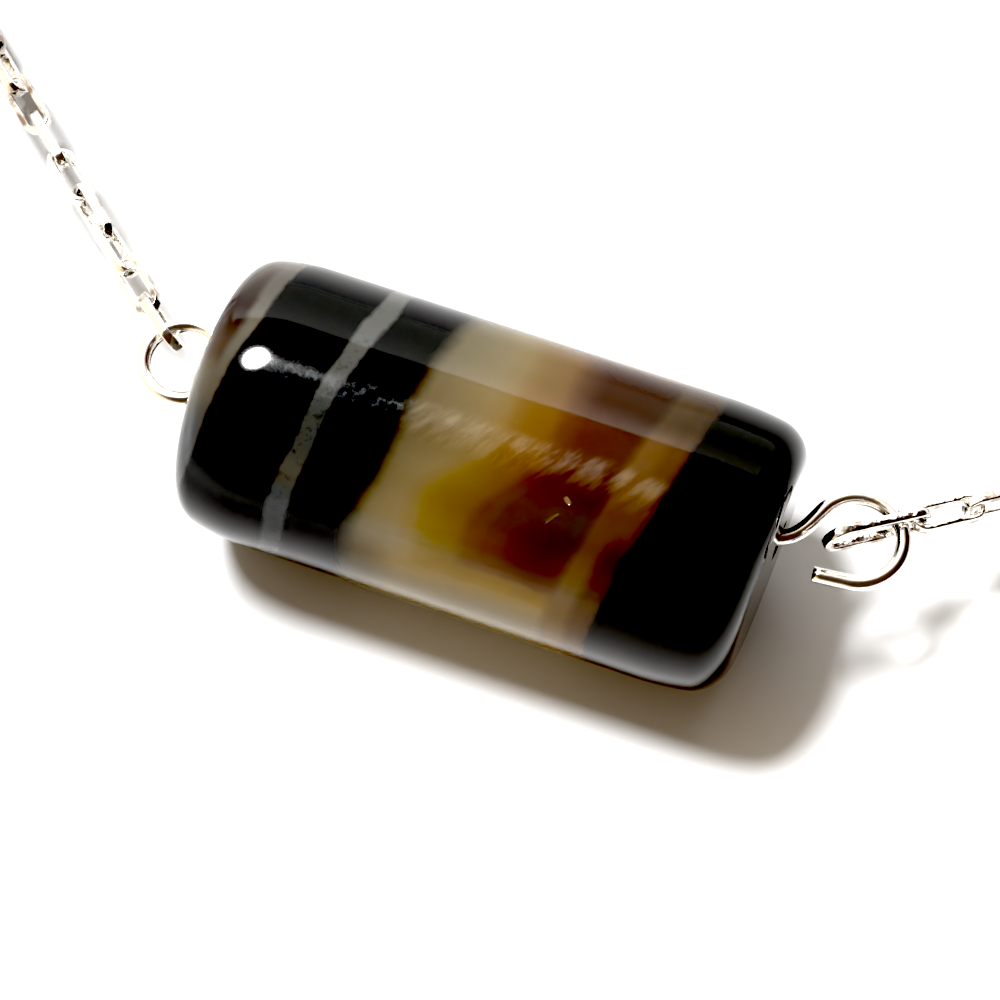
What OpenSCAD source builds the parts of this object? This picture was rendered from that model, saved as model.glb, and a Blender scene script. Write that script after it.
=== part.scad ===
// Agate pendant necklace, lying as a closed loop on a flat surface.
// X runs along the agate cylinder, +Y from it towards the clasp, Z is up.
// The surface is z = 0 and the origin is in the middle of the loop's box.

/* [Agate cylinder] */
// Length of the cylinder
bead_len = 20; // [16:0.5:26]
// Diameter of the cylinder
bead_d = 10; // [8:0.5:12]
// Radius of the rounded end edges
edge_r = 1.4; // [0.8:0.1:2]
// Diameter of the hole drilled along it
hole_d = 1.1; // [1:0.05:1.4]
// Width of the bevel round each mouth of the hole
mouth_bevel = 0.2; // [0.1:0.05:0.4]
// How far behind the middle the left mouth of the hole lies
mouth_left = 0.2; // [0:0.1:0.6]
// How far behind the middle the right mouth of the hole lies
mouth_right = 1; // [0:0.1:1.2]

/* [Wire pin] */
// Diameter of the silver wire
wire_d = 0.55; // [0.45:0.05:0.6]
// Diameter of the left loop, at the middle of the wire
left_loop_d = 2.8; // [2.6:0.1:3]
// Diameter of the right loop, at the middle of the wire
right_loop_d = 3.1; // [2.9:0.1:3.3]
// Gap between the left end of the cylinder and the middle of the left loop
left_loop_x = 1.5; // [1.45:0.05:1.7]
// Gap between the right end of the cylinder and the middle of the right loop
right_loop_x = 2.5; // [2.3:0.1:2.8]
// How far behind the left mouth the middle of the left loop lies
left_loop_y = 0.2; // [0:0.1:0.4]
// How far behind the right mouth the middle of the right loop lies
right_loop_y = 0.9; // [0.7:0.1:1.1]
// Length of the straight tail that ends the right loop
tail_len = 1.1; // [0.6:0.1:1.4]

/* [Chain links] */
// Outer length of a link
link_len = 2.9; // [2.8:0.1:3.1]
// Outer width of a link
link_w = 1.05; // [1.05:0.05:1.2]
// Thickness of the flat strip that a link is bent from
strip_t = 0.2; // [0.15:0.05:0.2]
// Width of that strip
strip_w = 0.3; // [0.25:0.05:0.3]
// Distance from one link to the next
pitch = 2; // [1.9:0.05:2.1]
// Links in the chain on each side
links_a_side = 104; // [90:1:110]
// Outer width of the first and last link of each chain
end_link_w = 1.35; // [1.3:0.05:1.45]
// Outer length of the long first link on the right
long_link_len = 4.2; // [4:0.1:4.4]

/* [Lay of the chain] */
// Angle at which both chains leave the line of the cylinder
heading = 40.7; // [36:0.1:44]
// Distance from the middle of the left loop to the middle of its first link
left_first = 1.85; // [1.75:0.05:1.9]
// Distance from the middle of the right loop to the middle of its first link
right_first = 0.7; // [0.5:0.05:1]
// Length over which the chain comes down to the surface
drop_run = 24; // [20:1:30]
// Length over which the chain climbs to the clasp
rise_run = 11; // [9:1:14]
// Turn of the first link on the left about the chain, from lying flat
left_roll = 74; // [72:1:85]
// Turn of the first link on the right about the chain, from lying flat
right_roll = 90; // [80:1:100]
// Links over which a chain untwists until it lies as it rests
untwist_links = 8; // [8:1:12]

/* [Clasp] */
// Length of the closed barrel
barrel_len = 6; // [5:0.5:8]
// Diameter of the barrel
barrel_d = 2.8; // [2.4:0.1:3.4]
// Radius of the barrel's rounded ends
barrel_edge = 0.6; // [0.4:0.1:0.8]
// Diameter of the wire of the two eyes
eye_wire = 0.5; // [0.45:0.05:0.55]
// Diameter of an eye, at the middle of its wire
eye_d = 1.5; // [1.4:0.1:1.6]
// How far the middle of an eye stands out from the barrel's end
eye_out = 0.55; // [0.5:0.05:0.6]
// Angle between the clasp and the line of the cylinder, at which both chains just reach it
clasp_lean = 0.62; // [0.6:0.01:0.65]

/* [Hidden] */
$fn = 32;

wire_r = wire_d / 2;
pin_z = bead_d / 2;
wire_sides = 12;
arc_step = 9;
neck_steps = 10;
round_steps = 3;

// Middles of the two wire loops
left_loop = [-bead_len / 2 - left_loop_x, mouth_left + left_loop_y];
right_loop = [bead_len / 2 + right_loop_x, mouth_right + right_loop_y];

// Where each loop begins and ends, as angles from +X about its middle
left_free_angle = -60;
left_neck_angle = -300;
right_neck_angle = 150;
right_tail_angle = -88;

// A link at rest lies on its edges, turned by half a right angle, a hair above the surface
rest_roll = 45;
rest_lift = 0.01;
rest_z = (link_w + strip_w) / 2 * sin(rest_roll) + rest_lift;
clasp_z = barrel_d / 2;
inner_reach = link_len / 2 - strip_t;
play = 2 * inner_reach - pitch;
eye_play = 0.35;
long_spacing = long_link_len / 2 - strip_t + inner_reach - play;
eye_spacing = inner_reach + (eye_d - eye_wire) / 2 - eye_play;
last_x = (barrel_len / 2 + eye_out + eye_spacing) * cos(clasp_lean);

// Distance of link i from the middle of its loop, along the chain
function left_station(i) = left_first + i * pitch;
function right_station(i) = right_first + (i == 0 ? 0 : long_spacing + (i - 1) * pitch);

left_total = left_station(links_a_side - 1);
right_total = right_station(links_a_side - 1);

// Each chain runs straight, then round an arc that ends at last_turn, in line with the clasp
function arc_len(radius, last_turn) = radius * (last_turn - heading) * PI / 180;
function arc_radius(total, start_x, last_turn) =
    (total * cos(heading) - last_x + start_x)
    / (arc_len(1, last_turn) * cos(heading) + sin(heading) - sin(last_turn));

// Place and direction on the right-hand chain, s along it from the loop's middle
function lay_turn(s, straight, radius) = heading + max(0, s - straight) / radius * 180 / PI;
function lay_point(s, start, straight, radius) =
    let (run = min(s, straight), turn = lay_turn(s, straight, radius))
    start + run * [cos(heading), sin(heading)]
    + radius * [sin(turn) - sin(heading), cos(heading) - cos(turn)];

// Height of the chain's middle, and how fast it falls, s along it from the loop's middle
drop = pin_z - rest_z;
rise = clasp_z - rest_z;
function drop_left(s, loop_r) = max(0, 1 - (s - loop_r) / drop_run);
function rise_done(s, total) = max(0, 1 - (total + eye_spacing - s) / rise_run);
function lay_height(s, loop_r, total) =
    let (slope = 2 * drop / drop_run)
    s < loop_r ? pin_z + (loop_r - s) * slope
    : rest_z + drop * pow(drop_left(s, loop_r), 2) + rise * pow(rise_done(s, total), 2);
function lay_fall(s, loop_r, total) =
    atan(2 * drop / drop_run * min(1, drop_left(s, loop_r)) - 2 * rise / rise_run * rise_done(s, total));

left_start = [-left_loop[0], left_loop[1]];
left_last_turn = 180 - clasp_lean;
left_radius = arc_radius(left_total, left_start[0], left_last_turn);
left_straight = left_total - arc_len(left_radius, left_last_turn);
right_last_turn = 180 + clasp_lean;
right_radius = arc_radius(right_total, right_loop[0], right_last_turn);
right_straight = right_total - arc_len(right_radius, right_last_turn);

// The last links, the clasp between them, and the middle of the box round the whole loop
left_far = lay_point(left_total, left_start, left_straight, left_radius);
left_last = [-left_far[0], left_far[1]];
right_last = lay_point(right_total, right_loop, right_straight, right_radius);
clasp_middle = (left_last + right_last) / 2;
loop_middle = (clasp_middle[1] + barrel_d / 2 - bead_d / 2) / 2;

// Turn of link i about the chain: a right angle more for each link, and the untwisting towards rest
function link_roll(i, first, rest) = first + 90 * i + (rest - first) * min(i, untwist_links) / untwist_links;

// Points along the wire, in the plane at the middle of the cylinder
function on_circle(middle, radius, angle) = middle + radius * [cos(angle), sin(angle)];
function arc_points(middle, radius, from, to) =
    let (steps = ceil(abs(to - from) / arc_step))
    [for (i = [0:steps]) on_circle(middle, radius, from + (to - from) * i / steps)];
function curve_point(a, b, c, d, t) =
    pow(1 - t, 3) * a + 3 * t * pow(1 - t, 2) * b + 3 * t * t * (1 - t) * c + t * t * t * d;
function curve_points(a, b, c, d) =
    [for (i = [1:neck_steps - 1]) curve_point(a, b, c, d, i / neck_steps)];
function along(angle) = [sin(angle), -cos(angle)];

left_end_x = -bead_len / 2;
right_end_x = bead_len / 2;

// The left neck turns at left_bend, just outside the cylinder, and each neck is straight inside it
left_neck_out = 0.37;
left_neck_back = 0.5;
left_neck_in = 0.4;
right_neck_in = 0.6;
left_join = on_circle(left_loop, left_loop_d / 2, left_neck_angle);
left_bend = [left_end_x - left_neck_out, mouth_left + left_neck_back];
left_inside = [left_end_x + left_neck_in, mouth_left];
right_inside = [right_end_x - right_neck_in, mouth_right];
right_join = on_circle(right_loop, right_loop_d / 2, right_neck_angle);
tail_start = on_circle(right_loop, right_loop_d / 2, right_tail_angle);
tail_slope = 6;
tail_end = tail_start - tail_len * [cos(tail_slope), sin(tail_slope)];

// How strongly the curves of the necks pull at their ends, and the slant at which the left one bends
left_join_pull = 0.45;
left_bend_pull = [0.02, -0.3];
right_join_pull = 0.6;
right_hole_pull = 1.3;

wire_path = concat(
    arc_points(left_loop, left_loop_d / 2, left_free_angle, left_neck_angle),
    curve_points(left_join, left_join + left_join_pull * along(left_neck_angle),
        left_bend - left_bend_pull, left_bend),
    [left_bend],
    curve_points(left_bend, left_bend + left_bend_pull, left_inside - [left_neck_in, 0], left_inside),
    [left_inside, right_inside],
    curve_points(right_inside, right_inside + [right_hole_pull, 0],
        right_join - right_join_pull * along(right_neck_angle), right_join),
    arc_points(right_loop, right_loop_d / 2, right_neck_angle, right_tail_angle),
    [(tail_start + tail_end) / 2, tail_end]
);

// Radius of the wire at each point: the left end is rounded over, the right end is cut flat
path_start = wire_path[0];
start_dir = (wire_path[0] - wire_path[1]) / norm(wire_path[0] - wire_path[1]);
cap_reach = 86.4;
cap_angles = [for (i = [round_steps:-1:1]) cap_reach * i / round_steps];
cap_points = [for (a = cap_angles) path_start + start_dir * wire_r * sin(a)];
cap_radii = [for (a = cap_angles) wire_r * cos(a)];
sweep_points = concat(cap_points, wire_path);
sweep_radii = concat(cap_radii, [for (p = wire_path) wire_r]);

function path_dir(pts, i) =
    let (a = pts[max(0, i - 1)], b = pts[min(len(pts) - 1, i + 1)])
    (b - a) / norm(b - a);

// Round rod swept along points in a level plane
module swept_rod(pts, radii, sides) {
    rings = len(pts);
    corners = [for (i = [0:rings - 1]) let (d = path_dir(pts, i)) for (k = [0:sides - 1])
        let (a = 360 * k / sides, side = radii[i] * cos(a))
        [pts[i][0] - d[1] * side, pts[i][1] + d[0] * side, radii[i] * sin(a)]];
    walls = [for (i = [0:rings - 2]) for (k = [0:sides - 1])
        let (a = i * sides + k, b = i * sides + (k + 1) % sides)
        for (t = [[a, b + sides, b], [a, a + sides, b + sides]]) t];
    first_cap = [for (k = [1:sides - 2]) [0, k, k + 1]];
    last = (rings - 1) * sides;
    last_cap = [for (k = [1:sides - 2]) [last, last + k + 1, last + k]];
    polyhedron(points = corners, faces = concat(walls, first_cap, last_cap), convexity = 6);
}

// Half outline of a round bar with rounded end edges, from its axis
module bar_outline(len, d, edge) {
    square([d / 2 - edge, len]);
    translate([0, edge]) square([d / 2, len - 2 * edge]);
    for (z = [edge, len - edge]) translate([d / 2 - edge, z]) circle(r = edge);
}

// Round bar with rounded end edges along X, centred
module round_bar(len, d, edge) {
    translate([-len / 2, 0, 0]) rotate([0, 90, 0]) rotate_extrude() bar_outline(len, d, edge);
}

// Hole along X, centred, with a bevel at each mouth cut by a cone twice as deep as the bevel
module bevelled_hole() {
    rotate([0, 90, 0]) cylinder(d = hole_d, h = bead_len + bead_d, center = true);
    for (side = [-1, 1]) translate([side * (bead_len / 2 - mouth_bevel), 0, 0]) rotate([0, side * 90, 0])
        cylinder(r1 = hole_d / 2, r2 = hole_d / 2 + 2 * mouth_bevel, h = 2 * mouth_bevel);
}

// Polished agate cylinder with its hole, which wanders towards the back
module agate_bead() {
    hole_slant = atan((mouth_right - mouth_left) / bead_len);
    color([0.36, 0.24, 0.12]) translate([0, 0, pin_z]) difference() {
        round_bar(bead_len, bead_d, edge_r);
        translate([0, (mouth_left + mouth_right) / 2, 0]) rotate([0, 0, hole_slant]) bevelled_hole();
    }
}

// One silver wire through the cylinder, bent to an open loop at each end
module wire_pin() {
    color([0.82, 0.8, 0.77]) translate([0, 0, pin_z]) swept_rod(sweep_points, sweep_radii, wire_sides);
}

module slot_shape(len, w) {
    square([len - w, w], center = true);
    for (side = [-1, 1]) translate([side * (len - w) / 2, 0]) circle(d = w);
}

// Long oval link of flat strip, along X and lying flat
module link(len, w) {
    linear_extrude(height = strip_w, center = true) difference() {
        slot_shape(len, w);
        slot_shape(len - 2 * strip_t, w - 2 * strip_t);
    }
}

// Link at p, its length pointing along turn and falling by fall, rolled about its length
module placed_link(p, z, turn, fall, roll, len, w) {
    translate([p[0], p[1], z]) rotate([0, fall, turn]) rotate([roll, 0, 0]) link(len, w);
}

function width_of(i) = (i == 0 || i == links_a_side - 1) ? end_link_w : link_w;

// Fine silver chain from the left loop round to the clasp, the mirror of the right-hand lay
module chain_left() {
    color([0.84, 0.83, 0.8]) for (i = [0:links_a_side - 1]) {
        s = left_station(i);
        p = lay_point(s, left_start, left_straight, left_radius);
        placed_link([-p[0], p[1]], lay_height(s, left_loop_d / 2, left_total),
            180 - lay_turn(s, left_straight, left_radius), lay_fall(s, left_loop_d / 2, left_total),
            link_roll(i, left_roll, -rest_roll), link_len, width_of(i));
    }
}

// Fine silver chain from the right loop round to the clasp, its first link a long one
module chain_right() {
    color([0.84, 0.83, 0.8]) for (i = [0:links_a_side - 1]) {
        s = right_station(i);
        p = lay_point(s, right_loop, right_straight, right_radius);
        placed_link(p, lay_height(s, right_loop_d / 2, right_total),
            lay_turn(s, right_straight, right_radius), lay_fall(s, right_loop_d / 2, right_total),
            link_roll(i, right_roll, rest_roll), i == 0 ? long_link_len : link_len, width_of(i));
    }
}

// Closed barrel clasp with an eye at each end, lying between the last links
module clasp() {
    color([0.8, 0.79, 0.76]) translate([clasp_middle[0], clasp_middle[1], clasp_z])
        rotate([0, 0, clasp_lean]) rotate([-rest_roll, 0, 0]) {
            round_bar(barrel_len, barrel_d, barrel_edge);
            for (side = [-1, 1]) translate([side * (barrel_len / 2 + eye_out), 0, 0])
                rotate_extrude() translate([eye_d / 2, 0]) circle(d = eye_wire);
        }
}

// Moves a piece from the frame of the cylinder to that of the whole loop
module in_loop_frame() {
    translate([0, -loop_middle, 0]) children();
}

in_loop_frame() agate_bead();
in_loop_frame() wire_pin();
in_loop_frame() chain_left();
in_loop_frame() chain_right();
in_loop_frame() clasp();
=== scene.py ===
import math
import random

import bmesh
import bpy
import numpy as np
from mathutils import Matrix, Vector


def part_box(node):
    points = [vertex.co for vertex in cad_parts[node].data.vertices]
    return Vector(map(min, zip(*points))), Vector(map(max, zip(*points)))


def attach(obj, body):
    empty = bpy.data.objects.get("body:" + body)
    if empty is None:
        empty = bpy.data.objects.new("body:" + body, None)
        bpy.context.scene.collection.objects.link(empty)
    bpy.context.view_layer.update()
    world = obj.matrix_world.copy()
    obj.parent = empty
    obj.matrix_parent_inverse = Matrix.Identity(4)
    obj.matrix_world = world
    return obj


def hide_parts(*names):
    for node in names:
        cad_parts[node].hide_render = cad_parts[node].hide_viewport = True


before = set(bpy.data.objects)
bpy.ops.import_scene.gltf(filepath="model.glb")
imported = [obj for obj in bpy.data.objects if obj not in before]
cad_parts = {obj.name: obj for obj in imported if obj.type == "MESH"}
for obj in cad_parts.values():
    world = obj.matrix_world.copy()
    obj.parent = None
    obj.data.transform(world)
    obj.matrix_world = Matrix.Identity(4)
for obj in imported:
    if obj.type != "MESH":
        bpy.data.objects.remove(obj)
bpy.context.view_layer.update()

MM = 0.001
BODY = "root"

# The agate cylinder, its hole and its wire, as in the frame, in millimetres
BEAD_LEN = 20.0
BEAD_R = 4.995
HOLE_R = 0.55
MOUTH_BEVEL = 0.2
MOUTH_LEFT_Y = 0.2
MOUTH_RIGHT_Y = 1.0
WIRE_R = 0.275
BEAD_AXIS_Z = 0.005                   # metres
bead_low, bead_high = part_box("agate_bead")
BEAD_MIDDLE = Vector(((bead_low.x + bead_high.x) / 2, (bead_low.y + bead_high.y) / 2, BEAD_AXIS_Z))

# Camera, at the photograph's angle to the cylinder

CAMERA_TILT = math.radians(20.0)      # from straight above, towards the front
CAMERA_YAW = math.radians(9.3)        # towards the right
CAMERA_ROLL = math.radians(18.27)     # the cylinder's right end is lower in the frame
CAMERA_DISTANCE = 110.0               # from the cylinder's middle
PIXELS_PER_MM = 29.3                  # at the cylinder's middle
FRAME_PIXELS = 1000
SENSOR_WIDTH = 36.0
CLIP_START = 0.005                    # metres
BEAD_PIXEL = (490.3, 474.7)           # where the cylinder's middle is in the frame


def make_camera():
    facing = Vector((0, -math.sin(CAMERA_TILT), math.cos(CAMERA_TILT)))
    to_camera = math.sin(CAMERA_YAW) * Vector((1, 0, 0)) + math.cos(CAMERA_YAW) * facing
    level_up = Vector((0, math.cos(CAMERA_TILT), math.sin(CAMERA_TILT)))
    level_right = (-to_camera).cross(level_up).normalized()
    level_up = level_right.cross(-to_camera)
    right = math.cos(CAMERA_ROLL) * level_right + math.sin(CAMERA_ROLL) * level_up
    up = -math.sin(CAMERA_ROLL) * level_right + math.cos(CAMERA_ROLL) * level_up
    place = BEAD_MIDDLE + CAMERA_DISTANCE * MM * to_camera
    off_right = (FRAME_PIXELS / 2 - BEAD_PIXEL[0]) / PIXELS_PER_MM * MM
    off_up = -(FRAME_PIXELS / 2 - BEAD_PIXEL[1]) / PIXELS_PER_MM * MM
    aim = BEAD_MIDDLE + off_right * right + off_up * up
    back = (place - aim).normalized()
    right = up.cross(back).normalized()
    up = back.cross(right)
    data = bpy.data.cameras.new("camera")
    data.sensor_width = SENSOR_WIDTH
    data.lens = PIXELS_PER_MM * CAMERA_DISTANCE / FRAME_PIXELS * SENSOR_WIDTH
    data.clip_start = CLIP_START
    camera = bpy.data.objects.new("camera", data)
    turn = Matrix((right, up, back)).transposed().to_4x4()
    camera.matrix_world = Matrix.Translation(place) @ turn
    bpy.context.scene.collection.objects.link(camera)
    bpy.context.scene.camera = camera


# Shader graphs

class Graph:
    """The node tree of a material or world, built in code. An input is a value or another node's socket."""

    def __init__(self, owner, output="ShaderNodeOutputMaterial"):
        self.owner = owner
        owner.use_nodes = True
        self.tree = owner.node_tree
        self.tree.nodes.clear()
        self.output = self.tree.nodes.new(output)

    def node(self, kind, inputs=None, **settings):
        made = self.tree.nodes.new(kind)
        for key, value in settings.items():
            setattr(made, key, value)
        for key, value in (inputs or {}).items():
            self.feed(made.inputs[key], value)
        return made

    def feed(self, socket, value):
        if isinstance(value, bpy.types.NodeSocket):
            self.tree.links.new(value, socket)
        else:
            socket.default_value = value

    def math(self, operation, a, b=0.0, c=0.0, clamp=False):
        made = self.node("ShaderNodeMath", {0: a, 1: b, 2: c}, operation=operation, use_clamp=clamp)
        return made.outputs[0]

    def vector(self, operation, a, b=(0, 0, 0)):
        made = self.node("ShaderNodeVectorMath", {0: a, 1: b}, operation=operation)
        return made.outputs["Value" if operation in ("DOT_PRODUCT", "LENGTH", "DISTANCE") else "Vector"]

    def scaled(self, vector, size):
        return self.node("ShaderNodeVectorMath", {0: vector, "Scale": size}, operation="SCALE").outputs[0]

    def times(self, a, b):
        return self.math("MULTIPLY", a, b)

    def split(self, vector):
        return self.node("ShaderNodeSeparateXYZ", {0: vector}).outputs

    def step(self, value, low, high):
        """0 below low, 1 above high, smooth between. low may be the higher of the two."""
        made = self.node("ShaderNodeMapRange", {"Value": value, "From Min": low, "From Max": high},
                         interpolation_type="SMOOTHSTEP")
        return made.outputs[0]

    def window(self, value, rise, fall):
        """1 between two steps, the pairs rise and fall, and 0 outside them."""
        return self.times(self.step(value, *rise), self.step(value, *fall))

    def ramp(self, value, stops):
        """Colours at chosen values, and between them. The first and the last go on outside."""
        low, high = stops[0][0], stops[-1][0]
        made = self.node("ShaderNodeValToRGB")
        self.feed(made.inputs[0], self.node("ShaderNodeMapRange", {
            "Value": value, "From Min": low, "From Max": high}).outputs[0])
        elements = made.color_ramp.elements
        while len(elements) < len(stops):
            elements.new(1.0)
        for element, (place, colour) in zip(elements, stops):
            element.position = (place - low) / (high - low)
            element.color = colour
        return made.outputs["Color"]

    def mix(self, share, a, b, blend="MIX"):
        made = self.node("ShaderNodeMix", data_type="RGBA", blend_type=blend)
        self.feed(made.inputs["Factor"], share)
        self.feed(made.inputs[6], a)
        self.feed(made.inputs[7], b)
        return made.outputs[2]

    def tint(self, share, colour, factor):
        """The colour, multiplied by a factor where share is 1."""
        return self.mix(share, colour, self.mix(1.0, colour, factor, "MULTIPLY"))

    def noise(self, vector, scale, detail=2.0, roughness=0.5, colour=False):
        made = self.node("ShaderNodeTexNoise", {
            "Vector": vector, "Scale": scale, "Detail": detail, "Roughness": roughness})
        return made.outputs["Color" if colour else "Fac"]

    def wobble(self, vector, scale, detail, size):
        """A shift that varies from place to place, up to half of size each way."""
        level = self.vector("SUBTRACT", self.noise(vector, scale, detail, colour=True), (0.5, 0.5, 0.5))
        return self.scaled(level, size)

    def bump(self, height, distance, strength=1.0, normal=None):
        inputs = {"Height": height, "Distance": distance, "Strength": strength}
        if normal is not None:
            inputs["Normal"] = normal
        return self.node("ShaderNodeBump", inputs).outputs[0]

    def finish(self, shader):
        self.tree.links.new(shader, self.output.inputs["Surface"])
        return self.owner


def material_graph(name):
    return Graph(bpy.data.materials.new(name))


# Banded agate. A place in it is in millimetres from the cylinder's middle: along it, across it (less than 0
# at the front) and up. A pair says where a step starts and ends, and its first value may be the higher.

BAND_SLOPE = (1.0, -0.15, -0.085)     # every band lies square to this direction
BEND = (0.22, 2, 0.7)                 # the bands' slow wobble: noise scale, detail and size
FINE_BEND = (2.2, 3, 0.16)            # and the fine one
RIM_START = (-8.78, -8.98)            # steps in that direction, from each band to the next
GREY_START = (-5.93, -5.74)
GREY_END = (-5.02, -5.22)
CREAM_START = (-3.3, -2.4)
STRIPE_START = (4.2, 4.7)
CLEAR_END = (6.1, 5.7)
# Painted light on the front and painted shade on the back follow the FRONT and BACK steps
FRONT = (-0.6, -2.4)                  # steps across the cylinder, from its top to its front and back
LOWER_FRONT = (-2.6, -3.8)
BACK = (0.8, 2.2)

BLACK = (0.004, 0.0043, 0.0045, 1)
NO_TINT = (1, 1, 1, 1)

# The brown: a mass at the front whose left edge bulges to the left, and a second mass at the back
BULGE = (-0.4, -3.3)
BULGE_WIDTH = 1.85
LEFT_EDGE = 2.65
FOOT_HEIGHT = 2.7
FOOT_SLOPE = 2.5
SECOND_MASS = (3.2, 2.6, -3.6)
SECOND_RADIUS = 2.6
MASS_BLEND = 0.8
AMBER = [                             # how deep in the brown, colour from cream to brown
    (-5.4, (0.108, 0.09, 0.06, 1)), (-4.4, (0.112, 0.093, 0.063, 1)), (-3.5, (0.132, 0.106, 0.067, 1)),
    (-2.7, (0.15, 0.117, 0.07, 1)), (-2.1, (0.153, 0.11, 0.057, 1)), (-1.7, (0.14, 0.091, 0.041, 1)),
    (-1.2, (0.13, 0.08, 0.034, 1)), (-0.5, (0.12, 0.07, 0.031, 1)), (-0.1, (0.092, 0.05, 0.028, 1)),
    (0.5, (0.07, 0.037, 0.027, 1)), (1.5, (0.064, 0.036, 0.027, 1)), (3.2, (0.055, 0.037, 0.028, 1))]
YELLOW_START = (-2.5, -1.2)           # steps in the depth in the brown
BROWN_START = (-0.4, 0.5)
BROWN_BACK_START = (-0.8, 0.8)
# Painted shade: these two multipliers darken the cream and the brown on the back of the cylinder
CREAM_BACK_PAINTED_SHADE = (0.8, 0.82, 0.78, 1)
BROWN_BACK_PAINTED_SHADE = (0.36, 0.24, 0.14, 1)
# Painted light: these four multipliers lighten the cream, yellow and brown on the front and lower front
CREAM_FRONT_PAINTED_LIGHT = (1.12, 1.17, 1.27, 1)
YELLOW_FRONT_PAINTED_LIGHT = (1.14, 1.32, 1.1, 1)
BROWN_FRONT_PAINTED_LIGHT = (1.38, 1.85, 1.4, 1)
BROWN_LOW_PAINTED_LIGHT = (1.38, 1.48, 1.2, 1)
CORE = (3.1, -3.7, 3.2)               # the darkest place of the brown
CORE_REACH = (1.8, 0.3)
CORE_TINT = (0.75, 0.7, 0.8, 1)

STRIPE = [                            # place along BAND_SLOPE, colour of the amber stripe
    (4.3, (0.075, 0.048, 0.03, 1)), (4.65, (0.105, 0.067, 0.039, 1)), (4.95, (0.101, 0.064, 0.037, 1)),
    (5.35, (0.098, 0.064, 0.037, 1)), (5.75, (0.094, 0.061, 0.035, 1)), (5.98, (0.07, 0.046, 0.028, 1)),
    (6.16, BLACK)]
STRIPE_LEAN = -0.03
STRIPE_EDGE = (5.0, 5.5)
STRIPE_EDGE_FRONT = (-1.9, -3.2)      # the edge is darker at the front, and less so at the top
STRIPE_EDGE_TOP = (-0.9, -0.1)
STRIPE_EDGE_TOP_SHARE = 0.45
STRIPE_EDGE_TINT = (0.66, 0.55, 0.5, 1)
# Painted light on the stripe's front and painted shade on its back
STRIPE_FRONT_PAINTED_LIGHT = (1.05, 1.15, 1.05, 1)
STRIPE_BACK_PAINTED_SHADE = (0.36, 0.34, 0.26, 1)
CREAM_EDGE = (-2.0, -3.2)
CREAM_EDGE_TINT = (0.8, 0.84, 0.86, 1)
LOW = (-4.0, -4.7)                    # the foot of the front, above the surface, where painted shade darkens and warms the colour
LOW_LEFT_END = (-2.3, -0.8)           # step in the bands' direction, from the darker painted shade at the left to the one further right
# Painted shade at the foot of the front: darker at the left, warmer further right
LOW_LEFT_PAINTED_SHADE = (0.6, 0.54, 0.42, 1)
LOW_PAINTED_SHADE = (1.06, 0.93, 0.62, 1)

GREY_LIGHT = (0.079, 0.081, 0.079, 1)
# Dark grey of the mottle, and also the painted shade on the back
GREY_MOTTLE_AND_BACK_SHADE = (0.064, 0.064, 0.057, 1)
GREY_FLECK = (0.056, 0.059, 0.059, 1)
# Painted shade: the grey darkens towards the back and at the foot
GREY_BACK_SHADE = (0.5, 4.0)
GREY_LOW = (-3.1, -4.6)
GREY_LOW_PAINTED_SHADE = (0.5, 0.52, 0.56, 1)
MOTTLE = (3.2, 4, 0.65)               # noise scale, detail and roughness
MOTTLE_DARK = (0.3, 0.62)             # steps in that noise
MOTTLE_FLECK = (0.52, 0.34)
MOTTLE_SHARE = 0.25

RIM_FRONT = (0.056, 0.06, 0.063, 1)
RIM_TOP = (0.092, 0.086, 0.073, 1)
RIM_BACK = (0.064, 0.057, 0.049, 1)
RIM_TAN = (0.084, 0.075, 0.06, 1)
RIM_SHADE = (0.05, 0.042, 0.034, 1)
RIM_TOP_START = (-3.6, 0.5)           # steps across the cylinder between these colours
RIM_BACK_START = (0.3, 2.2)
RIM_TAN_START = (-2.8, -1.8)
RIM_TAN_END = (0.2, -1.0)
RIM_TAN_SHARE = 0.6
RIM_SHADE_START = (0.2, 1.0)
RIM_SHADE_EDGE = (-8.62, -8.95)       # step along the cylinder
STREAK = [                            # across the cylinder, colour of the red-brown streak in the rim
    (-1.5, (0.062, 0.05, 0.039, 1)), (-0.1, (0.05, 0.039, 0.033, 1)), (0.6, (0.028, 0.021, 0.019, 1)),
    (1.2, (0.016, 0.009, 0.008, 1)), (1.9, (0.026, 0.019, 0.016, 1)), (2.8, (0.035, 0.028, 0.023, 1)),
    (4.5, (0.038, 0.031, 0.026, 1))]
STREAK_START = (-8.74, -9.06)
STREAK_LEAN = -0.06
STREAK_RISE = (-1.5, -0.5)            # steps across the cylinder
STREAK_FADE = (5.2, 1.2)

# Fine polishing marks spread the light along the top: slanted dashes in the clear part, patches in the black
MARK_SLANT = math.radians(-55)
MARK_STRETCH = (0.9, 4.0, 1.3)
DASH_NOISE = (1.0, 3, 0.55)           # scale, detail and roughness
DASHES = (0.38, 0.68)                 # step in that noise
PATCH_NOISE = (3.4, 4, 0.65)
PATCHES = (0.46, 0.74)
MARK_BACK = (0.1, -0.3)
MARK_FRONT = (-1.6, -1.0)
CLEAR_MARKS = 1.45
BLACK_MARKS = 1.3
BLACK_MARKS_RIGHT = 1.0               # added to BLACK_MARKS to the right of the next step
BLACK_MARKS_GROW = (-5.5, -4.5)
BLACK_MARKS_START = (-8.6, -8.2)
BLACK_MARKS_END = (-1.6, -3.2)
MARK_SHINE = 0.22
SHINE = 0.008
CLEAR_SHINE_TINT = (1, 0.8, 0.58, 1)
BLACK_SHINE_TINT = (0.86, 0.94, 1, 1)

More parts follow.
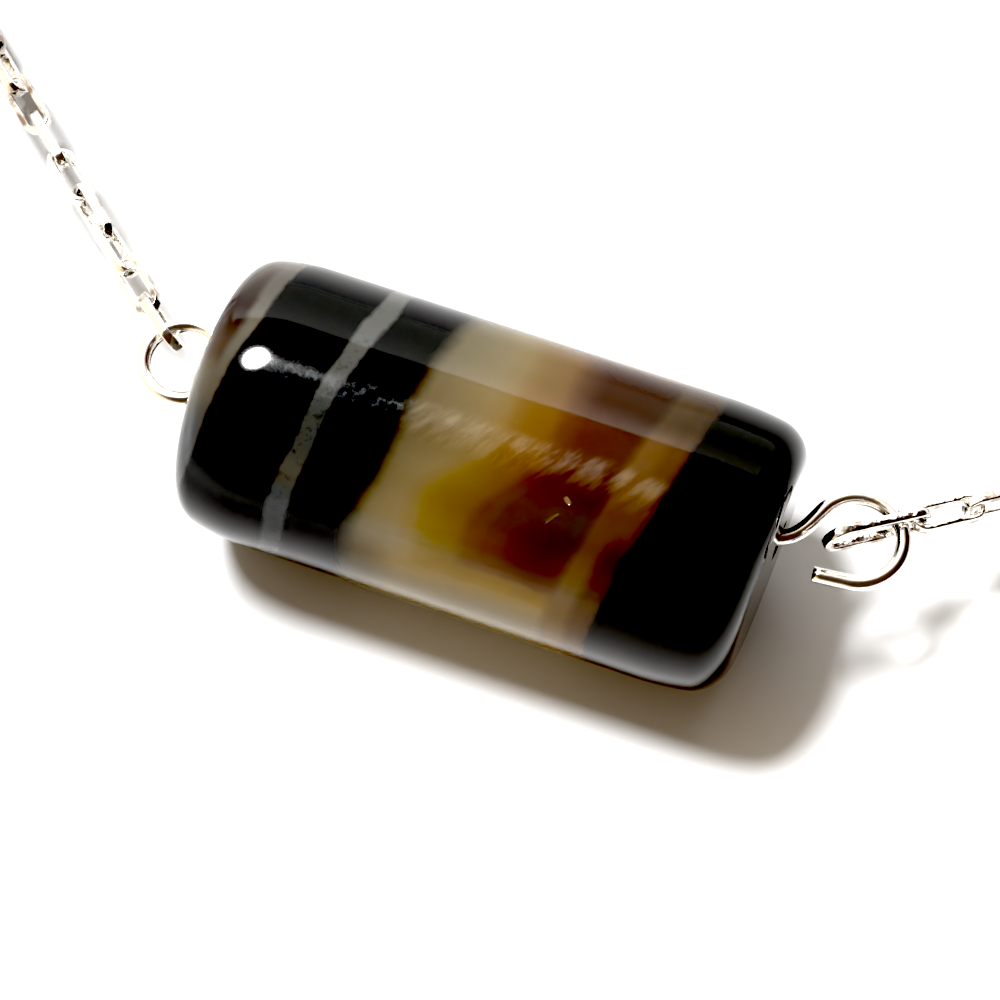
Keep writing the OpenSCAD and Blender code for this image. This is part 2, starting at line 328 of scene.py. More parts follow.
CHIPS = [                             # middle, direction, half length, half width, share of pale colour, which is partly a painted glint
    ((3.5, -1.71, 4.7), (0.75, -0.62, -0.22), 0.17, 0.085, 0.9),
    ((3.2, -2.35, 4.41), (0.62, 0.7, 0.35), 0.3, 0.05, 0.3)]
# Pale colour of the scratches: partly their own pale colour, partly a painted glint of the lamp
SCRATCH_PALE_AND_GLINT = (0.19, 0.125, 0.08, 1)
CHIP_FULL_LEN = 0.5                   # how much of its half length and half width has the full depth
CHIP_FULL_WIDTH = 0.4
POLISH_DEPTH = 0.03                   # of a scratch
POLISH_SWELL = 0.7                    # the polished surface's slow swell, as a share of that


def chip_share(g, place, middle, direction, half_len, half_wide):
    """1 inside a short scratch, 0 outside it."""
    offset = g.vector("SUBTRACT", place, middle)
    line = tuple(Vector(direction).normalized())
    reach = g.math("ABSOLUTE", g.vector("DOT_PRODUCT", offset, line))
    gap = g.vector("LENGTH", g.vector("CROSS_PRODUCT", offset, line))
    return g.times(g.step(reach, half_len, half_len * CHIP_FULL_LEN),
                   g.step(gap, half_wide, half_wide * CHIP_FULL_WIDTH))


class Bands:
    """The agate's colours, on one graph, from a place in the stone, with painted light on the front and
    painted shade on the back and at the foot.
    """

    def __init__(self, g, place, fine):
        self.g = g
        self.place = place
        self.bent = g.vector("ADD", g.vector("ADD", place, g.wobble(place, *BEND)), fine)
        self.along, self.across, self.height = g.split(self.bent)
        self.band = g.vector("DOT_PRODUCT", self.bent, BAND_SLOPE)
        self.stripe_place = g.math("MULTIPLY_ADD", self.across, STRIPE_LEAN, self.band)
        self.front = g.step(self.across, *FRONT)
        self.back = g.step(self.across, *BACK)
        self.cream_share = g.step(self.band, *CREAM_START)
        self.clear_share = g.times(self.cream_share, g.step(self.stripe_place, *CLEAR_END))

    def brown_mass(self):
        """Below 0 in the cream, above 0 in the brown."""
        g = self.g
        bulge = g.math("MULTIPLY", g.step(self.across, *BULGE), -BULGE_WIDTH)
        left_edge = g.math("SUBTRACT", self.along, g.math("ADD", bulge, LEFT_EDGE))
        foot = g.math("MULTIPLY", g.math("SUBTRACT", self.height, FOOT_HEIGHT), FOOT_SLOPE)
        front_mass = g.math("SMOOTH_MIN", left_edge, foot, MASS_BLEND)
        second_mass = g.math("SUBTRACT", SECOND_RADIUS, g.vector("DISTANCE", self.bent, SECOND_MASS))
        return g.math("SMOOTH_MAX", front_mass, second_mass, MASS_BLEND)

    def amber(self):
        g = self.g
        mass = self.brown_mass()
        amber = g.ramp(mass, AMBER)
        # Painted shade on the back and painted light on the front, multiplied into the amber by side
        back_painted_shade = g.mix(g.step(mass, *BROWN_BACK_START), CREAM_BACK_PAINTED_SHADE, BROWN_BACK_PAINTED_SHADE)
        front_painted_light = g.mix(g.step(mass, *YELLOW_START), CREAM_FRONT_PAINTED_LIGHT, YELLOW_FRONT_PAINTED_LIGHT)
        brown_painted_light = g.mix(g.step(self.across, *LOWER_FRONT), BROWN_FRONT_PAINTED_LIGHT, BROWN_LOW_PAINTED_LIGHT)
        front_painted_light = g.mix(g.step(mass, *BROWN_START), front_painted_light, brown_painted_light)
        painted_light_and_shade = g.mix(self.back, g.mix(self.front, NO_TINT, front_painted_light), back_painted_shade)
        amber = g.mix(1.0, amber, painted_light_and_shade, "MULTIPLY")
        core_share = g.step(g.vector("DISTANCE", self.bent, CORE), *CORE_REACH)
        return g.tint(core_share, amber, CORE_TINT)

    def stripe(self):
        g = self.g
        stripe = g.ramp(self.stripe_place, STRIPE)
        edge_front = g.step(self.across, *STRIPE_EDGE_FRONT)
        edge_top = g.step(self.across, *STRIPE_EDGE_TOP)
        edge_sides = g.math("MULTIPLY_ADD", edge_top, STRIPE_EDGE_TOP_SHARE, edge_front)
        edge_share = g.times(g.step(self.stripe_place, *STRIPE_EDGE), edge_sides)
        stripe = g.tint(edge_share, stripe, STRIPE_EDGE_TINT)
        # Painted light on the front and painted shade on the back of the stripe
        front_painted_light = g.mix(self.front, NO_TINT, STRIPE_FRONT_PAINTED_LIGHT)
        return g.mix(1.0, stripe, g.mix(self.back, front_painted_light, STRIPE_BACK_PAINTED_SHADE), "MULTIPLY")

    def clear(self):
        """Cream, amber, brown and stripe, with painted light on the front and painted shade on the back and
        at the foot of the front.
        """
        g = self.g
        colour = g.mix(g.step(self.stripe_place, *STRIPE_START), self.amber(), self.stripe())
        colour = g.tint(g.times(g.step(self.band, *CREAM_EDGE), self.front), colour, CREAM_EDGE_TINT)
        # Painted shade at the foot of the front
        low_painted_shade = g.mix(g.step(self.band, *LOW_LEFT_END), LOW_LEFT_PAINTED_SHADE, LOW_PAINTED_SHADE)
        return g.tint(g.step(self.across, *LOW), colour, low_painted_shade)

    def grey(self):
        """The thin grey band, mottled and flecked, with painted shade on the back and at the foot."""
        g = self.g
        mottle = g.noise(self.place, *MOTTLE)
        # Painted shade on the back, added to the mottle's dark share
        back_share = g.step(self.across, *GREY_BACK_SHADE)
        mottle_and_back_shade = g.math("MULTIPLY_ADD", g.step(mottle, *MOTTLE_DARK), MOTTLE_SHARE, back_share)
        grey = g.mix(mottle_and_back_shade, GREY_LIGHT, GREY_MOTTLE_AND_BACK_SHADE)
        grey = g.mix(g.step(mottle, *MOTTLE_FLECK), grey, GREY_FLECK)
        # Painted shade at the foot
        return g.tint(g.step(self.across, *GREY_LOW), grey, GREY_LOW_PAINTED_SHADE)

    def rim(self):
        """Pale left end, greyer at the front, with a red-brown streak that fades into tan."""
        g = self.g
        across = self.across
        rim = g.mix(g.step(across, *RIM_TOP_START), RIM_FRONT, RIM_TOP)
        rim = g.mix(g.step(across, *RIM_BACK_START), rim, RIM_BACK)
        tan_share = g.window(across, RIM_TAN_START, RIM_TAN_END)
        rim = g.mix(g.math("MULTIPLY", tan_share, RIM_TAN_SHARE), rim, RIM_TAN)
        shade_share = g.times(g.step(self.along, *RIM_SHADE_EDGE), g.step(across, *RIM_SHADE_START))
        rim = g.mix(shade_share, rim, RIM_SHADE)
        streak_side = g.step(g.math("MULTIPLY_ADD", across, STREAK_LEAN, self.along), *STREAK_START)
        streak_share = g.times(streak_side, g.window(across, STREAK_RISE, STREAK_FADE))
        return g.mix(streak_share, rim, g.ramp(across, STREAK))

    def colour(self):
        g = self.g
        grey_share = g.window(self.band, GREY_START, GREY_END)
        body = g.mix(self.cream_share, g.mix(grey_share, BLACK, self.grey()), self.clear())
        return g.mix(g.step(self.band, *RIM_START), body, self.rim())

    def marks(self):
        """How much the polishing marks shine."""
        g = self.g
        turn = {"Vector": self.place, "Axis": (0, 0, 1), "Angle": MARK_SLANT}
        turned = g.node("ShaderNodeVectorRotate", turn, rotation_type="AXIS_ANGLE").outputs[0]
        dashes = g.step(g.noise(g.vector("MULTIPLY", turned, MARK_STRETCH), *DASH_NOISE), *DASHES)
        clear_marks = g.math("MULTIPLY", g.times(dashes, self.clear_share), CLEAR_MARKS)
        patches = g.step(g.noise(self.place, *PATCH_NOISE), *PATCHES)
        growth = g.step(self.along, *BLACK_MARKS_GROW)
        gain = g.math("MULTIPLY_ADD", growth, BLACK_MARKS_RIGHT, BLACK_MARKS)
        black_span = g.window(self.along, BLACK_MARKS_START, BLACK_MARKS_END)
        black_marks = g.times(g.times(patches, gain), black_span)
        top_share = g.window(self.across, MARK_FRONT, MARK_BACK)
        return g.times(g.math("MAXIMUM", clear_marks, black_marks), top_share)


def agate_material():
    g = material_graph("agate")
    place = g.node("ShaderNodeTexCoord").outputs["Object"]
    place = g.scaled(g.vector("SUBTRACT", place, tuple(BEAD_MIDDLE)), 1 / MM)
    fine = g.wobble(place, *FINE_BEND)
    bands = Bands(g, place, fine)
    colour = bands.colour()
    polish = g.math("MULTIPLY", g.noise(place, 0.35, 1), POLISH_SWELL)
    for middle, direction, half_len, half_wide, pale_and_glint in CHIPS:
        hollow = chip_share(g, g.vector("ADD", place, fine), middle, direction, half_len, half_wide)
        # Pale colour in each scratch, partly a painted glint
        colour = g.mix(g.math("MULTIPLY", hollow, pale_and_glint), colour, SCRATCH_PALE_AND_GLINT)
        polish = g.math("SUBTRACT", polish, hollow)
    shader = g.node("ShaderNodeBsdfPrincipled", {
        "Base Color": colour, "Roughness": 0.55, "IOR": 1.54,
        "Specular IOR Level": g.math("MULTIPLY_ADD", bands.marks(), MARK_SHINE, SHINE),
        "Specular Tint": g.mix(bands.clear_share, BLACK_SHINE_TINT, CLEAR_SHINE_TINT),
        "Subsurface Weight": 0.8, "Subsurface Radius": (1.0, 0.6, 0.3), "Subsurface Scale": 1.2 * MM,
        "Anisotropic": 0.9, "Anisotropic Rotation": 0.25,
        "Coat Weight": 1.0, "Coat Roughness": 0.085, "Coat IOR": 1.5,
        "Coat Normal": g.bump(polish, POLISH_DEPTH * MM)})
    round_axis = g.node("ShaderNodeTangent", direction_type="RADIAL", axis="X").outputs[0]
    g.feed(shader.inputs["Tangent"], round_axis)
    return g.finish(shader.outputs[0])


SILVER = (0.93, 0.91, 0.87, 1)
TARNISH = (0.74, 0.64, 0.5, 1)
# Strong brown clouds on the chain's links
CHAIN_BROWN_CLOUDS = (0.36, 0.285, 0.235, 1)
CLOUD_EDGE = (0.52, 0.68)           # step in the noise that makes the clouds
GRAIN_DEPTH = 0.002
ROUGH_SPREAD = 0.08


def silver_material(name, roughness, dent, cloud_colour=TARNISH, most_cloud=0.5):
    """Bright silver with fine grain, small dents of a depth in millimetres, and clouds of a darker colour."""
    g = material_graph(name)
    place = g.scaled(g.node("ShaderNodeTexCoord").outputs["Object"], 1 / MM)
    cloud = g.noise(place, 0.9, 3)
    dents = g.noise(place, 1.9, 2)
    grain = g.noise(place, 14, 3, 0.6)
    cloud_share = g.math("MULTIPLY", g.step(cloud, *CLOUD_EDGE), most_cloud)
    rough = g.math("MULTIPLY_ADD", g.math("ADD", grain, cloud), ROUGH_SPREAD, roughness - ROUGH_SPREAD)
    shader = g.node("ShaderNodeBsdfPrincipled", {
        "Base Color": g.mix(cloud_share, SILVER, cloud_colour), "Metallic": 1.0, "Roughness": rough,
        "Normal": g.bump(grain, GRAIN_DEPTH * MM, 0.5, g.bump(dents, dent * MM))})
    return g.finish(shader.outputs[0])


def plain_grey(level):
    return (level, level, level, 1)


FLOOR_FRONT = plain_grey(0.84)
FLOOR_LEFT = plain_grey(0.6)
FLOOR_FAR_FRONT = (0.91, 0.92, 0.92, 1)
FLOOR_BACK = plain_grey(0.415)
FLOOR_FAR_BACK = plain_grey(0.54)
TO_LEFT = (-1.0, -11.0)               # steps in millimetres from the cylinder's middle
TO_FAR_FRONT = (-10, -30)
TO_BACK = (0, 10)
TO_FAR_BACK = (60, 250)


def floor_material():
    """Pale in front, greyer at the front left and mid-grey behind the cylinder, for the stone's reflections.

    Outside the shadows it all shows white at the photograph's angle.
    """
    g = material_graph("floor")
    place = g.vector("SUBTRACT", g.node("ShaderNodeTexCoord").outputs["Object"], tuple(BEAD_MIDDLE))
    right, behind, _ = g.split(g.scaled(place, 1 / MM))
    front = g.mix(g.step(right, *TO_LEFT), FLOOR_FRONT, FLOOR_LEFT)
    front = g.mix(g.step(behind, *TO_FAR_FRONT), front, FLOOR_FAR_FRONT)
    back = g.mix(g.step(behind, *TO_FAR_BACK), FLOOR_BACK, FLOOR_FAR_BACK)
    colour = g.mix(g.step(behind, *TO_BACK), front, back)
    return g.finish(g.node("ShaderNodeBsdfPrincipled", {"Base Color": colour, "Roughness": 0.7}).outputs[0])


def glow_material(name, colour, strength, height, left, right, change_x):
    """Emission whose share of the strength goes from one value at the floor to another at a height.

    left and right are such pairs for the left and the right of the card. change_x is the step in x from the
    left one to the right one.
    """
    g = material_graph(name)
    x, _, z = g.split(g.node("ShaderNodeTexCoord").outputs["Object"])
    level = g.math("DIVIDE", z, height, clamp=True)
    left_share, right_share = [g.math("MULTIPLY_ADD", level, top - foot, foot) for foot, top in (left, right)]
    change = g.times(g.step(x, *change_x), g.math("SUBTRACT", right_share, left_share))
    share = g.math("ADD", left_share, change)
    shader = g.node("ShaderNodeEmission", {"Color": colour, "Strength": g.math("MULTIPLY", share, strength)})
    return g.finish(shader.outputs[0])


# Meshes

def make_piece(name, vertices, faces, material, replaced, sharp_angle=None):
    mesh = bpy.data.meshes.new(name)
    mesh.from_pydata([tuple(v) for v in vertices], [], faces)
    mesh.update()
    mesh.shade_smooth()
    if sharp_angle is not None:
        mesh.set_sharp_from_angle(angle=math.radians(sharp_angle))
    piece = bpy.data.objects.new(name, mesh)
    bpy.context.scene.collection.objects.link(piece)
    mesh.materials.append(material)
    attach(piece, BODY)
    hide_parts(replaced)
    return piece


def tube_faces(rings, sides, closed=False):
    """Quads between rings of equal size; the last ring joins the first where closed."""
    faces = []
    for i in range(rings if closed else rings - 1):
        below = i * sides
        above = ((i + 1) % rings) * sides
        for k in range(sides):
            after = (k + 1) % sides
            faces.append((below + k, below + after, above + after, above + k))
    return faces


# Each end of the cylinder narrows by a hair, then turns over a rounded edge to a flat face, tilted a little

FACE_RINGS = (0.15, 0.5, 0.85, 1.0)   # shares of the way from the mouth to the edge
EDGE_STEPS = 24
EASE_STEPS = 10
TILT_START = 6.0


class End:
    def __init__(self, side, ease_start, ease_radius, edge_radius, tilt, mouth_y):
        self.side = side
        self.ease_start = ease_start
        self.ease_radius = ease_radius
        self.edge_radius = edge_radius
        self.tilt = tilt
        self.mouth_y = mouth_y

    def rings(self):
        """From the hole's mouth out to the straight body, as (x, y offset, radius)."""
        half = BEAD_LEN / 2
        turn = math.asin((half - self.edge_radius - self.ease_start) / (self.ease_radius - self.edge_radius))
        edge_x = half - self.edge_radius
        flat = BEAD_R - self.ease_radius * (1 - math.cos(turn)) - self.edge_radius * math.cos(turn)
        mouth = HOLE_R + MOUTH_BEVEL
        rings = [(half - MOUTH_BEVEL, self.mouth_y, HOLE_R), (half, self.mouth_y, mouth)]
        for share in FACE_RINGS:
            rings.append((half, self.mouth_y * (1 - share), mouth + (flat - mouth) * share))
        for a in np.linspace(math.pi / 2, turn, EDGE_STEPS)[1:]:
            x = edge_x + self.edge_radius * math.sin(a)
            rings.append((x, 0.0, flat + self.edge_radius * math.cos(a)))
        for a in np.linspace(turn, 0, EASE_STEPS)[1:]:
            rings.append((self.ease_start + self.ease_radius * math.sin(a), 0.0,
                          BEAD_R - self.ease_radius * (1 - math.cos(a))))
        return [(self.side * x, y, radius) for x, y, radius in rings]

    def shift(self, x, y, z):
        """How far the tilt of the end face moves a point along the cylinder."""
        share = max(0.0, (self.side * x - TILT_START) / (BEAD_LEN / 2 - TILT_START))
        return share * (self.tilt[0] * y + self.tilt[1] * z)


LEFT_END = End(-1, ease_start=7.45, ease_radius=6.8, edge_radius=1.12, tilt=(0.0, 0.022),
               mouth_y=MOUTH_LEFT_Y)
RIGHT_END = End(1, ease_start=6.93, ease_radius=11.1, edge_radius=1.44, tilt=(0.031, 0.034),
                mouth_y=MOUTH_RIGHT_Y)
BEAD_SIDES = 192
BODY_STEPS = 40
HOLE_STEPS = 12


def bead_piece(material):
    body_x = np.linspace(-LEFT_END.ease_start, RIGHT_END.ease_start, BODY_STEPS)[1:-1]
    body = [(x, 0.0, BEAD_R) for x in body_x]
    hole_x = np.linspace(BEAD_LEN / 2 - MOUTH_BEVEL, -BEAD_LEN / 2 + MOUTH_BEVEL, HOLE_STEPS)[1:-1]
    hole = [(x, MOUTH_LEFT_Y + (x / BEAD_LEN + 0.5) * (MOUTH_RIGHT_Y - MOUTH_LEFT_Y), HOLE_R) for x in hole_x]
    rings = LEFT_END.rings() + body + RIGHT_END.rings()[::-1] + hole
    vertices = []
    for x, y_offset, radius in rings:
        for a in np.arange(BEAD_SIDES) / BEAD_SIDES * 2 * math.pi:
            y = y_offset + radius * math.cos(a)
            z = radius * math.sin(a)
            shift = LEFT_END.shift(x, y, z) + RIGHT_END.shift(x, y, z)
            vertices.append(BEAD_MIDDLE + MM * Vector((x + shift, y, z)))
    faces = tube_faces(len(rings), BEAD_SIDES, closed=True)
    return make_piece("agate_stone", vertices, faces, material, "agate_bead", sharp_angle=35)


def swept_tube(points, radii, sides, up=Vector((0, 0, 1))):
    """Round tube along points that lie in a level plane, with capped ends."""
    vertices = []
    count = len(points)
    angles = [2 * math.pi * k / sides for k in range(sides)]
    for i, (point, radius) in enumerate(zip(points, radii)):
        ahead = (points[min(count - 1, i + 1)] - points[max(0, i - 1)]).normalized()
        side = up.cross(ahead)
        for a in angles:
            vertices.append(point + radius * (math.cos(a) * side + math.sin(a) * up))
    faces = tube_faces(count, sides)
    faces.append(tuple(range(sides - 1, -1, -1)))
    faces.append(tuple(range((count - 1) * sides, count * sides)))
    return vertices, faces


# The wire's route, in millimetres from the cylinder's middle, the same as in the frame

LEFT_LOOP = (-11.5, 0.4, 1.4)         # middle x, middle y, radius
RIGHT_LOOP = (12.5, 1.9, 1.55)
LEFT_FREE_ANGLE = -60
LEFT_NECK_ANGLE = -300
RIGHT_NECK_ANGLE = 150
RIGHT_TAIL_ANGLE = -88
TAIL_LEN = 1.1
TAIL_SLOPE = math.radians(6)
TAIL_SHARES = (0.25, 0.5, 0.75, 0.97, 1.0)
LEFT_BEND = (-0.37, 0.5)              # off the left mouth, where the wire turns into the hole
LEFT_PULL = (0.02, -0.3)              # how the wire heads there
LEFT_INSIDE = 0.4                     # where the wire is straight, in from each end
RIGHT_INSIDE = 0.6
LEFT_NECK_PULL = 0.45
LEFT_HOLE_PULL = 0.4
RIGHT_NECK_PULL = 0.6
RIGHT_HOLE_PULL = 1.3
WIRE_SIDES = 24
CUT_SHARE = 0.9                       # the cut end of the tail has a slight bevel
CAP_ANGLES = (86, 70, 52, 34, 17)     # of the rings that round off the free end


def on_loop(loop, degrees):
    a = math.radians(degrees)
    return np.array([loop[0] + loop[2] * math.cos(a), loop[1] + loop[2] * math.sin(a)])


def loop_arc(loop, first, last, step=3.0):
    steps = math.ceil(abs(last - first) / step)
    return [on_loop(loop, first + (last - first) * i / steps) for i in range(steps + 1)]


def bezier(a, b, c, d, steps=24):
    line = []
    for i in range(1, steps):
        t = i / steps
        line.append((1 - t) ** 3 * a + 3 * t * (1 - t) ** 2 * b + 3 * t * t * (1 - t) * c + t ** 3 * d)
    return line


def heading(degrees):
    a = math.radians(degrees)
    return np.array([math.sin(a), -math.cos(a)])


def wire_route():
    half = BEAD_LEN / 2
    left_join = on_loop(LEFT_LOOP, LEFT_NECK_ANGLE)
    left_bend = np.array([-half, MOUTH_LEFT_Y]) + LEFT_BEND
    left_pull = np.array(LEFT_PULL)
    left_inside = np.array([-half + LEFT_INSIDE, MOUTH_LEFT_Y])
    right_inside = np.array([half - RIGHT_INSIDE, MOUTH_RIGHT_Y])
    right_join = on_loop(RIGHT_LOOP, RIGHT_NECK_ANGLE)
    tail_start = on_loop(RIGHT_LOOP, RIGHT_TAIL_ANGLE)
    tail_end = tail_start - TAIL_LEN * np.array([math.cos(TAIL_SLOPE), math.sin(TAIL_SLOPE)])
    route = loop_arc(LEFT_LOOP, LEFT_FREE_ANGLE, LEFT_NECK_ANGLE)
    left_neck = left_join + LEFT_NECK_PULL * heading(LEFT_NECK_ANGLE)
    route += bezier(left_join, left_neck, left_bend - left_pull, left_bend)
    route += [left_bend]
    route += bezier(left_bend, left_bend + left_pull, left_inside - [LEFT_HOLE_PULL, 0], left_inside)
    route += [left_inside, right_inside]
    right_neck = right_join - RIGHT_NECK_PULL * heading(RIGHT_NECK_ANGLE)
    route += bezier(right_inside, right_inside + [RIGHT_HOLE_PULL, 0], right_neck, right_join)
    route += loop_arc(RIGHT_LOOP, RIGHT_NECK_ANGLE, RIGHT_TAIL_ANGLE)
    route += [tail_start + (tail_end - tail_start) * share for share in TAIL_SHARES]
    return route


def wire_piece(material):
    route = wire_route()
    radii = [WIRE_R] * len(route)
    start = route[0]
    back = (route[0] - route[1]) / np.linalg.norm(route[0] - route[1])
    cap = [start + back * WIRE_R * math.sin(math.radians(a)) for a in CAP_ANGLES]
    cap_radii = [WIRE_R * math.cos(math.radians(a)) for a in CAP_ANGLES]
    radii[-1] = WIRE_R * CUT_SHARE
    points = [BEAD_MIDDLE + MM * Vector((p[0], p[1], 0)) for p in cap + route]
    vertices, faces = swept_tube(points, [r * MM for r in cap_radii + radii], WIRE_SIDES)
    return make_piece("silver_pin", vertices, faces, material, "wire_pin", sharp_angle=50)


# Chain links, placed where the frame's own links lie

STRIP_T = 0.22 * MM
STRIP_W = 0.36 * MM
STRIP_CORNER = 0.06 * MM
CORNER_STEPS = 4
LINK_ARC_STEPS = 12
LINK_SIDE_SHARES = (0.25, 0.5, 0.75)
LINK_ROLL = 4                         # degrees each way, at most
MERGE_REACH = 1e-7                    # metres


def loose_parts(node):
    """The corners of each loose solid of a node, in the mesh's order."""
    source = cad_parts[node].data
    work = bmesh.new()
    work.from_mesh(source)
    bmesh.ops.remove_doubles(work, verts=work.verts, dist=MERGE_REACH)
    seen = set()
    parts = []
    for vertex in work.verts:
        if vertex.index in seen:
            continue
        seen.add(vertex.index)
        queue = [vertex]
        found = []
        while queue:
            here = queue.pop()
            found.append(tuple(here.co))
            for edge in here.link_edges:
                other = edge.other_vert(here)
                if other.index not in seen:
                    seen.add(other.index)
                    queue.append(other)
        parts.append(np.array(found))
    work.free()
    return parts


def link_frame(corners):
    """Middle, axes (length, width, height) and sizes of one link."""
    axes = np.linalg.svd(corners - corners.mean(0), full_matrices=False)[2]
    spans = [corners @ axis for axis in axes]
    middle = sum(((s.max() + s.min()) / 2) * axis for s, axis in zip(spans, axes))
    return middle, axes, [s.max() - s.min() for s in spans]


def strip_ring(length, width):
    """A long oval ring of flat strip with rounded corners, in its own axes: length, width, height."""
    straight = (length - width) / 2
    mid_r = (width - STRIP_T) / 2
    path = []                         # of (x, y, outward x, outward y)
    for end in (1, -1):
        for i in range(LINK_ARC_STEPS + 1):
            a = -math.pi / 2 + math.pi * i / LINK_ARC_STEPS
            out_x, out_y = end * math.cos(a), end * math.sin(a)
            path.append((end * straight + mid_r * out_x, mid_r * out_y, out_x, out_y))
        for share in LINK_SIDE_SHARES:
            x = end * straight * (1 - 2 * share)
            path.append((x, end * mid_r, 0.0, float(end)))
    section = []
    for out_sign, up_sign, first in ((1, 1, 0), (-1, 1, 90), (-1, -1, 180), (1, -1, 270)):
        for a in np.radians(np.linspace(first, first + 90, CORNER_STEPS)):
            section.append((out_sign * (STRIP_T / 2 - STRIP_CORNER) + STRIP_CORNER * math.cos(a),
                            up_sign * (STRIP_W / 2 - STRIP_CORNER) + STRIP_CORNER * math.sin(a)))
    vertices = []
    for x, y, nx, ny in path:
        for out, up in section:
            vertices.append((x + nx * out, y + ny * out, up))
    return np.array(vertices), tube_faces(len(path), len(section), closed=True)


def chain_piece(name, node, material):
    rng = random.Random(len(name))
    vertices = []
    faces = []
    for corners in loose_parts(node):
        middle, axes, sizes = link_frame(corners)
        shape, shape_faces = strip_ring(sizes[0], sizes[1])
        roll = math.radians(rng.uniform(-LINK_ROLL, LINK_ROLL))
        shape = shape @ np.array(Matrix.Rotation(roll, 3, "X"))
        base = len(vertices)
        vertices += [tuple(v) for v in middle + shape @ axes]
        faces += [tuple(base + i for i in face) for face in shape_faces]
    return make_piece(name, vertices, faces, material, node)


# Floor, card, light and room

KEY_DIRECTION = Vector((-0.385, 0.165, 0.91)).normalized()
KEY_DISTANCE = 0.8
KEY_LENGTH = 0.184                    # along the cylinder, nearly
KEY_WIDTH = 0.24
KEY_POWER = 13.6
KEY_COLOUR = (0.98, 1.0, 1.03)

CARD_LEFT = -0.9                      # the card stands behind the cylinder
CARD_RIGHT = 0.25
CARD_Y = 0.55
CARD_TOP = 0.57
CARD_COLOUR = (1, 1, 0.975, 1)
CARD_STRENGTH = 3.12
CARD_GLOW_LEFT = (0.47, 1.0)          # shares of the strength at the floor and at the top
CARD_GLOW_RIGHT = (0.5546, 0.92)
CARD_CHANGE_X = (-0.2, 0.0)

FLOOR_HALF = 1.2
FLOOR_Z = -0.00002

DARK_SIDE = Vector((0.3, -0.45, 0.84)).normalized()
BACK_SIDE = Vector((-0.35, 0.9, 0.25)).normalized()
ROOM_LEFT = (1.35, 1.1, 0.8, 1)
ROOM_BACK = (1.2, 1.1, 0.97, 1)
ROOM_RIGHT = (0.12, 0.09, 0.075, 1)
ROOM_OVERHEAD = (0.16, 0.13, 0.115, 1)
ROOM_LOW_FRONT = (1.7, 1.8, 1.8, 1)
TO_ROOM_BACK = (-0.2, 0.45)           # steps along BACK_SIDE, x, DARK_SIDE, z and y
TO_ROOM_RIGHT = (-0.1, 0.4)
TO_ROOM_OVERHEAD = (0.62, 0.88)
TO_ROOM_LOW = (0.25, 0.0)
TO_ROOM_FRONT = (0.1, -0.5)

BLACK_LEVEL = 0.12                    # a phone camera's deep shadows


def staged_plane(name, corners, material):
    mesh = bpy.data.meshes.new(name)
    mesh.from_pydata(corners, [], [(0, 1, 2, 3)])
    mesh.materials.append(material)
    plane = bpy.data.objects.new(name, mesh)
    bpy.context.scene.collection.objects.link(plane)


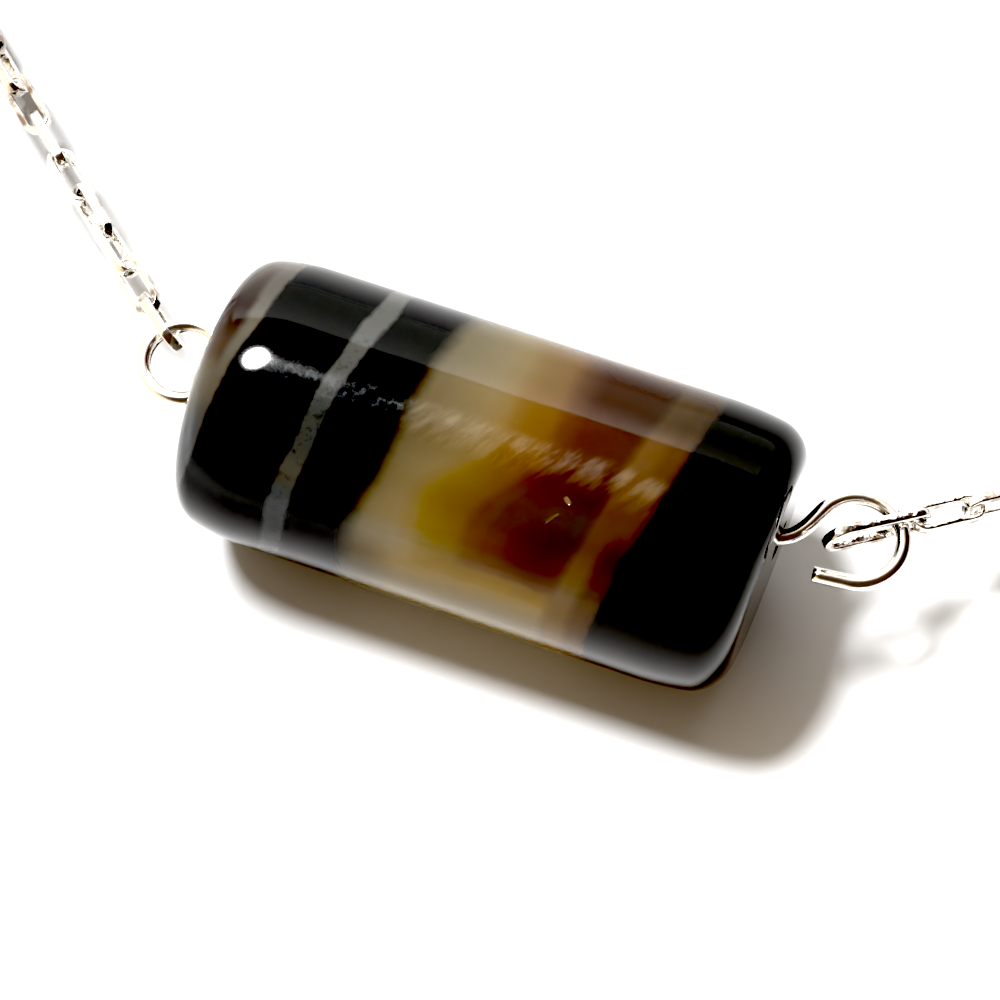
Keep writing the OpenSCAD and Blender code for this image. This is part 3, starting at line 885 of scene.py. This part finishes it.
def make_lights():
    key = bpy.data.lights.new("key", "AREA")
    key.shape = "ELLIPSE"
    key.size = KEY_WIDTH
    key.size_y = KEY_LENGTH
    key.energy = KEY_POWER
    key.color = KEY_COLOUR
    lamp = bpy.data.objects.new("key", key)
    turn = KEY_DIRECTION.to_track_quat("Z", "Y").to_matrix().to_4x4()
    lamp.matrix_world = Matrix.Translation(BEAD_MIDDLE + KEY_DISTANCE * KEY_DIRECTION) @ turn
    bpy.context.scene.collection.objects.link(lamp)

    glow = glow_material("back_glow", CARD_COLOUR, CARD_STRENGTH, CARD_TOP,
                         CARD_GLOW_LEFT, CARD_GLOW_RIGHT, CARD_CHANGE_X)
    staged_plane("back_card", [(CARD_LEFT, CARD_Y, 0), (CARD_RIGHT, CARD_Y, 0),
                               (CARD_RIGHT, CARD_Y, CARD_TOP), (CARD_LEFT, CARD_Y, CARD_TOP)], glow)
    corners = [(side_x * FLOOR_HALF, side_y * FLOOR_HALF, FLOOR_Z)
               for side_x, side_y in ((-1, -1), (1, -1), (1, 1), (-1, 1))]
    staged_plane("floor", corners, floor_material())


def make_room():
    """Warm light from the left and the back, white light low in front; dark at the right and overhead."""
    g = Graph(bpy.data.worlds.new("room"), "ShaderNodeOutputWorld")
    direction = g.node("ShaderNodeTexCoord").outputs["Generated"]
    x, y, z = g.split(direction)
    back_share = g.step(g.vector("DOT_PRODUCT", direction, tuple(BACK_SIDE)), *TO_ROOM_BACK)
    colour = g.mix(back_share, ROOM_LEFT, ROOM_BACK)
    colour = g.mix(g.step(x, *TO_ROOM_RIGHT), colour, ROOM_RIGHT)
    overhead_share = g.step(g.vector("DOT_PRODUCT", direction, tuple(DARK_SIDE)), *TO_ROOM_OVERHEAD)
    colour = g.mix(overhead_share, colour, ROOM_OVERHEAD)
    low_front_share = g.times(g.step(z, *TO_ROOM_LOW), g.step(y, *TO_ROOM_FRONT))
    colour = g.mix(low_front_share, colour, ROOM_LOW_FRONT)
    bpy.context.scene.world = g.finish(g.node("ShaderNodeBackground", {"Color": colour}).outputs[0])


def set_view():
    view = bpy.context.scene.view_settings
    view.view_transform = "Standard"
    view.use_curve_mapping = True
    view.curve_mapping.black_level = (BLACK_LEVEL, BLACK_LEVEL, BLACK_LEVEL)
    view.curve_mapping.update()


make_camera()
bead_piece(agate_material())
wire_piece(silver_material("silver_wire", roughness=0.16, dent=0.014))
silver_chain = silver_material("silver_chain", 0.14, 0.08, CHAIN_BROWN_CLOUDS, most_cloud=0.95)
chain_piece("silver_chain_left", "chain_left", silver_chain)
chain_piece("silver_chain_right", "chain_right", silver_chain)
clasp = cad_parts["clasp"]
clasp.data.materials.clear()
clasp.data.materials.append(silver_material("silver_clasp", roughness=0.22, dent=0.01))
make_lights()
make_room()
set_view()
